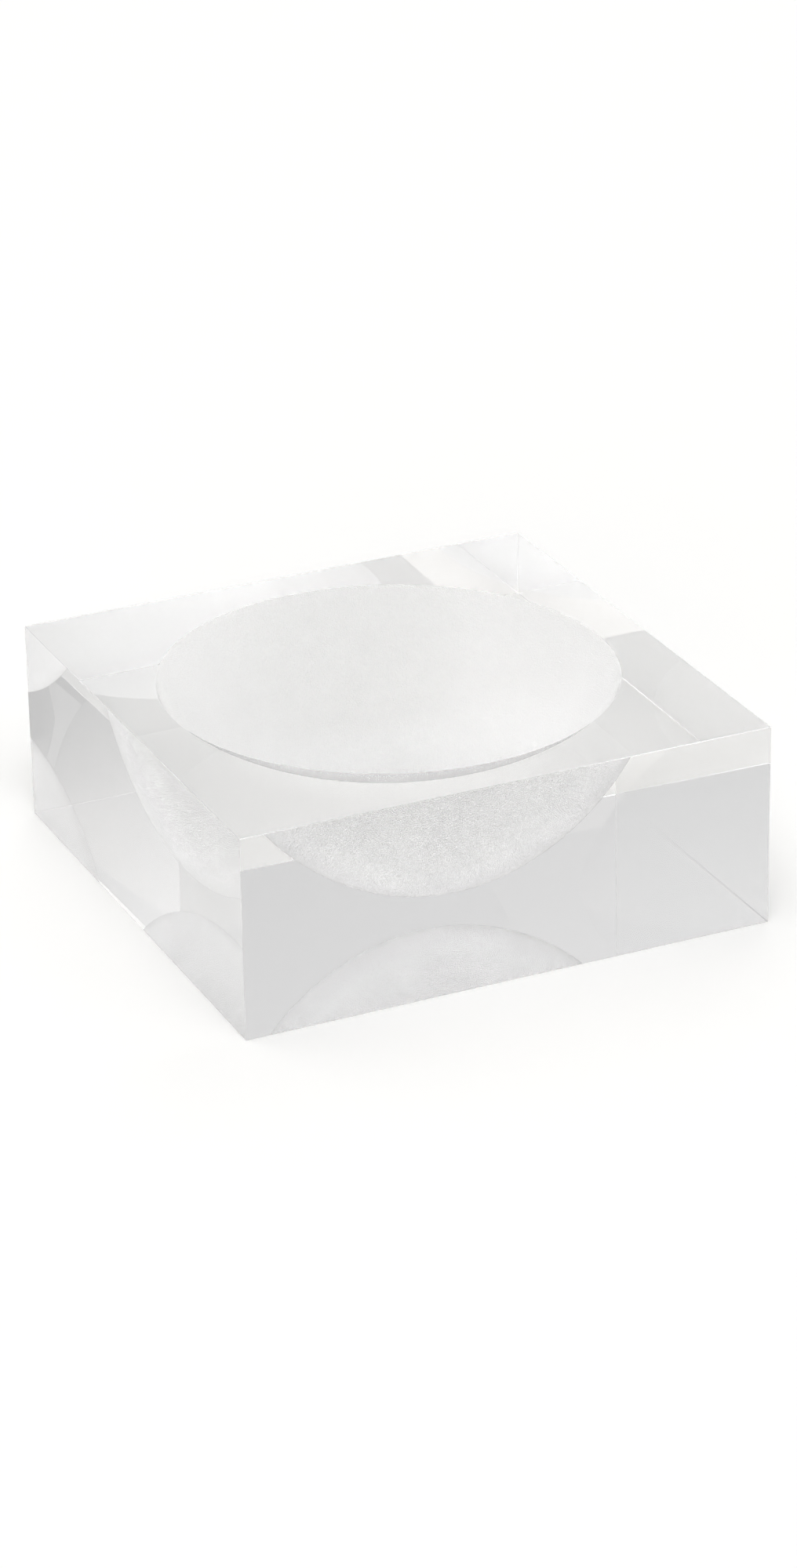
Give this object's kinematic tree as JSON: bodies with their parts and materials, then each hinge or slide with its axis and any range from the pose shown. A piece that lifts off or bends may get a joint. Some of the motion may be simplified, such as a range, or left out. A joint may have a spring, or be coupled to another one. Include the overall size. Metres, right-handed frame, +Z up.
{
  "type": "solid acrylic block bowl",
  "caption": "Solid clear acrylic block, square in plan, with a round frosted bowl machined into its polished top face.",
  "frame": {"origin": "middle of the underside", "axes": "+Z up along the bowl's axis; X and Y along the block's sides"},
  "size_m": [0.1524, 0.1524, 0.0575],
  "materials": {
    "acrylic": "polished"
  },
  "bodies": {
    "root": {"acrylic_block": "acrylic"}
  },
  "joints": []
}
